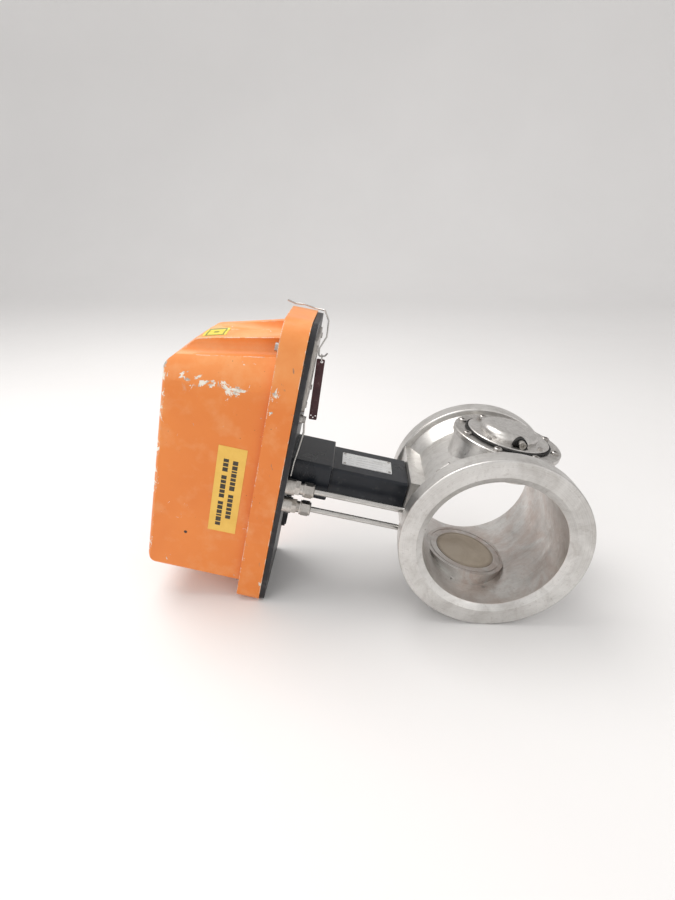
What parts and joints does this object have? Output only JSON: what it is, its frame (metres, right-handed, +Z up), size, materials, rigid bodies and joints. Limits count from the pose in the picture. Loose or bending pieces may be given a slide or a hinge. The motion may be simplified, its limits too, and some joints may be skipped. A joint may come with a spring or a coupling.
{
  "type": "in-line microwave concentration transmitter",
  "caption": "Flanged stainless pipe spool with two opposed microwave antenna windows, a square black neck and an orange die-cast electronics housing.",
  "frame": {"origin": "centre of the pipe bore, midway between the two ring faces", "axes": "+Y along the pipe, +Z up as the unit lies on a bench; the neck and housing run out towards -X and rise 12.1 degrees"},
  "size_m": [0.5111, 0.174, 0.3515],
  "materials": {
    "body_steel": "satin, worn",
    "cover_steel": "satin",
    "fastener_steel": "worn",
    "window_ceramic": "matt",
    "black_rubber": "matt",
    "copper": "bright",
    "tube_steel": "polished",
    "gland_metal": "nickel plated",
    "neck_black": "satin",
    "base_black": "chipped",
    "cover_orange": "satin, scuffed",
    "plate_silver": "satin",
    "plate_steel": "stained",
    "wire_steel": "drawn",
    "plug_plastic": "moulded",
    "circuit_board": "solder mask",
    "module_aluminium": "milled",
    "psu_dark": "moulded",
    "terminal_green": "moulded",
    "tag_maroon": "laminated"
  },
  "bodies": {
    "meter": {"base_housing": "base_black", "board_screws": "fastener_steel", "board_standoffs": "fastener_steel", "cover_gasket": "black_rubber", "earth_screw": "fastener_steel", "earth_washers": "fastener_steel", "earth_wire": "wire_steel", "entry_plugs": "plug_plastic", "flow_body": "body_steel", "front_ring": "body_steel", "lower_antenna": "copper", "lower_cable_tube": "tube_steel", "lower_cap": "cover_steel", "lower_cap_gasket": "black_rubber", "lower_cap_screws": "fastener_steel", "lower_clamp_ring": "cover_steel", "lower_clamp_screws": "fastener_steel", "lower_gland_body": "gland_metal", "lower_gland_locknut": "fastener_steel", "lower_gland_nut": "gland_metal", "lower_tube_fitting": "gland_metal", "lower_window": "window_ceramic", "lower_window_retainer": "cover_steel", "lower_window_seal": "black_rubber", "main_board": "circuit_board", "nameplate": "plate_silver", "nameplate_rivets": "fastener_steel", "neck_bolts": "fastener_steel", "neck_foot": "neck_black", "neck_foot_gasket": "black_rubber", "neck_head": "neck_black", "neck_head_bolts": "fastener_steel", "neck_set_screws": "fastener_steel", "power_supply": "psu_dark", "rear_plate": "plate_steel", "rear_plate_screws": "fastener_steel", "rear_ring": "body_steel", "rf_module": "module_aluminium", "tag_wire": "wire_steel", "terminal_block": "terminal_green", "upper_antenna": "copper", "upper_cable_tube": "tube_steel", "upper_cap": "cover_steel", "upper_cap_connector": "gland_metal", "upper_cap_gasket": "black_rubber", "upper_cap_grommet": "black_rubber", "upper_cap_screws": "fastener_steel", "upper_clamp_ring": "cover_steel", "upper_clamp_screws": "fastener_steel", "upper_gland_body": "gland_metal", "upper_gland_locknut": "fastener_steel", "upper_gland_nut": "gland_metal", "upper_tube_fitting": "gland_metal", "upper_window": "window_ceramic", "upper_window_retainer": "cover_steel", "upper_window_seal": "black_rubber"},
    "cover": {"cover": "cover_orange", "cover_screws": "fastener_steel"},
    "tag": {"tag_plate": "tag_maroon", "tag_ring": "wire_steel"}
  },
  "joints": [
    {"name": "cover_lift", "type": "slide", "parent": "meter", "child": "cover", "axis": [-0.9778, 0, 0.2096], "range_m": [0, 0.15]},
    {"name": "tag_swing", "type": "hinge", "parent": "meter", "child": "tag", "pos_m": [-0.19404, 0.004, 0.18734], "axis": [1, 0, 0], "range_deg": [-30, 30]}
  ]
}
